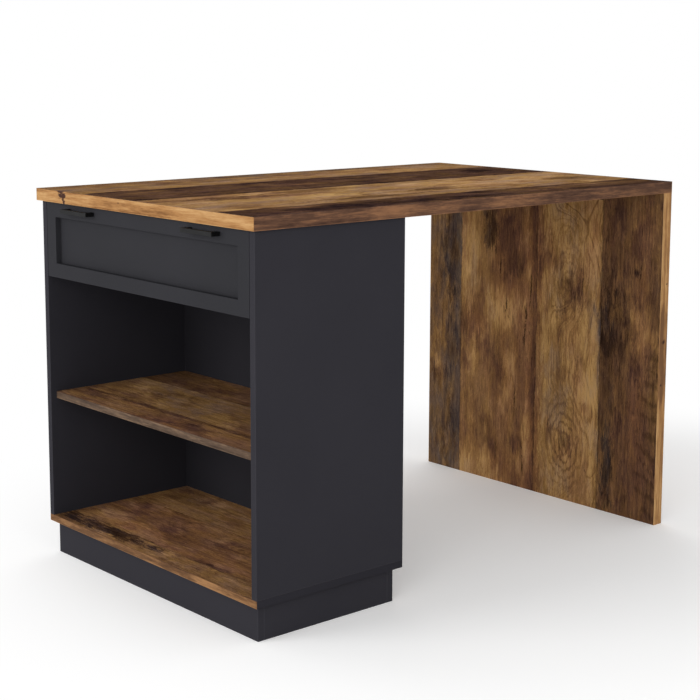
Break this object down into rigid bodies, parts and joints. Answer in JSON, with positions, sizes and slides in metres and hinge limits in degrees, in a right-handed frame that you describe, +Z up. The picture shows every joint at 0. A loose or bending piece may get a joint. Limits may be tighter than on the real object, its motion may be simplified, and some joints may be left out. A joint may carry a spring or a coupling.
{
  "type": "kitchen island unit",
  "caption": "Kitchen island: a dark cabinet with an inset framed drawer and open shelves under a long plank-look worktop that ends on a full-width leg panel, leaving a knee space.",
  "frame": {"origin": "on the floor, under the middle of the whole unit with its handles (the bottom centre of its box)", "axes": "+Z up; the drawer opens towards -Y; +Y runs along the worktop to the leg panel; X goes across the worktop"},
  "size_m": [0.82, 1.312, 0.87],
  "materials": {
    "plank_decor": "matt laminate printed as rustic planks",
    "brown_band": "matt edge band with a brown wood print",
    "light_band": "satin edge band with a light wood print",
    "anthracite_board": "matt anthracite faced chipboard",
    "drawer_board": "matt anthracite foil on chipboard",
    "hardboard": "matt lacquered hardboard",
    "black_metal": "matt black powder coat",
    "runner_steel": "bright zinc plate",
    "fitting_steel": "satin zinc plate"
  },
  "bodies": {
    "island": {"worktop": "plank_decor", "worktop_band_left": "brown_band", "worktop_band_right": "brown_band", "worktop_band_front": "light_band", "worktop_band_rear": "light_band", "leg_panel": "plank_decor", "leg_band_left": "light_band", "leg_band_right": "light_band", "leg_bracket_left": "fitting_steel", "leg_bracket_right": "fitting_steel", "bracket_screw_worktop_left": "fitting_steel", "bracket_screw_worktop_right": "fitting_steel", "bracket_screw_leg_left": "fitting_steel", "bracket_screw_leg_right": "fitting_steel", "side_panel_left": "anthracite_board", "side_panel_right": "anthracite_board", "back_panel": "anthracite_board", "stretcher_front": "anthracite_board", "stretcher_rear": "anthracite_board", "worktop_screw_front_left": "fitting_steel", "worktop_screw_front_right": "fitting_steel", "worktop_screw_rear_left": "fitting_steel", "worktop_screw_rear_right": "fitting_steel", "bottom_board": "plank_decor", "bottom_board_band": "light_band", "shelf": "plank_decor", "shelf_band": "light_band", "shelf_pin_front_left": "fitting_steel", "shelf_pin_front_right": "fitting_steel", "shelf_pin_rear_left": "fitting_steel", "shelf_pin_rear_right": "fitting_steel", "plinth_front": "anthracite_board", "plinth_rear": "anthracite_board", "plinth_left": "anthracite_board", "plinth_right": "anthracite_board", "runner_cabinet_left": "runner_steel", "runner_cabinet_right": "runner_steel"},
    "drawer": {"drawer_front_frame": "anthracite_board", "drawer_front_panel": "anthracite_board", "drawer_side_left": "drawer_board", "drawer_side_right": "drawer_board", "drawer_box_front": "drawer_board", "drawer_box_back": "drawer_board", "drawer_bottom": "hardboard", "handle_left": "black_metal", "handle_right": "black_metal", "handle_screw_left_inner": "fitting_steel", "handle_screw_left_outer": "fitting_steel", "handle_screw_right_inner": "fitting_steel", "handle_screw_right_outer": "fitting_steel", "runner_drawer_left": "runner_steel", "runner_drawer_right": "runner_steel"},
    "runner_middle_left": {"runner_middle_left": "runner_steel"},
    "runner_middle_right": {"runner_middle_right": "runner_steel"},
    "ball_cage_outer_left": {"ball_cage_outer_left": "runner_steel"},
    "ball_cage_outer_right": {"ball_cage_outer_right": "runner_steel"},
    "ball_cage_inner_left": {"ball_cage_inner_left": "runner_steel"},
    "ball_cage_inner_right": {"ball_cage_inner_right": "runner_steel"}
  },
  "joints": [
    {"name": "drawer_slide", "type": "slide", "parent": "island", "child": "drawer", "axis": [0, -1, 0], "range_m": [0, 0.34]},
    {"name": "runner_middle_left_slide", "type": "slide", "parent": "island", "child": "runner_middle_left", "axis": [0, -1, 0], "range_m": [0, 0.17]},
    {"name": "runner_middle_right_slide", "type": "slide", "parent": "island", "child": "runner_middle_right", "axis": [0, -1, 0], "range_m": [0, 0.17]},
    {"name": "ball_cage_outer_left_slide", "type": "slide", "parent": "island", "child": "ball_cage_outer_left", "axis": [0, -1, 0], "range_m": [0, 0.085]},
    {"name": "ball_cage_outer_right_slide", "type": "slide", "parent": "island", "child": "ball_cage_outer_right", "axis": [0, -1, 0], "range_m": [0, 0.085]},
    {"name": "ball_cage_inner_left_slide", "type": "slide", "parent": "island", "child": "ball_cage_inner_left", "axis": [0, -1, 0], "range_m": [0, 0.255]},
    {"name": "ball_cage_inner_right_slide", "type": "slide", "parent": "island", "child": "ball_cage_inner_right", "axis": [0, -1, 0], "range_m": [0, 0.255]}
  ],
  "couplings": [
    {"joint": "runner_middle_left_slide", "follows": "drawer_slide", "ratio": 0.5},
    {"joint": "runner_middle_right_slide", "follows": "drawer_slide", "ratio": 0.5},
    {"joint": "ball_cage_outer_left_slide", "follows": "drawer_slide", "ratio": 0.25},
    {"joint": "ball_cage_outer_right_slide", "follows": "drawer_slide", "ratio": 0.25},
    {"joint": "ball_cage_inner_left_slide", "follows": "drawer_slide", "ratio": 0.75},
    {"joint": "ball_cage_inner_right_slide", "follows": "drawer_slide", "ratio": 0.75}
  ]
}
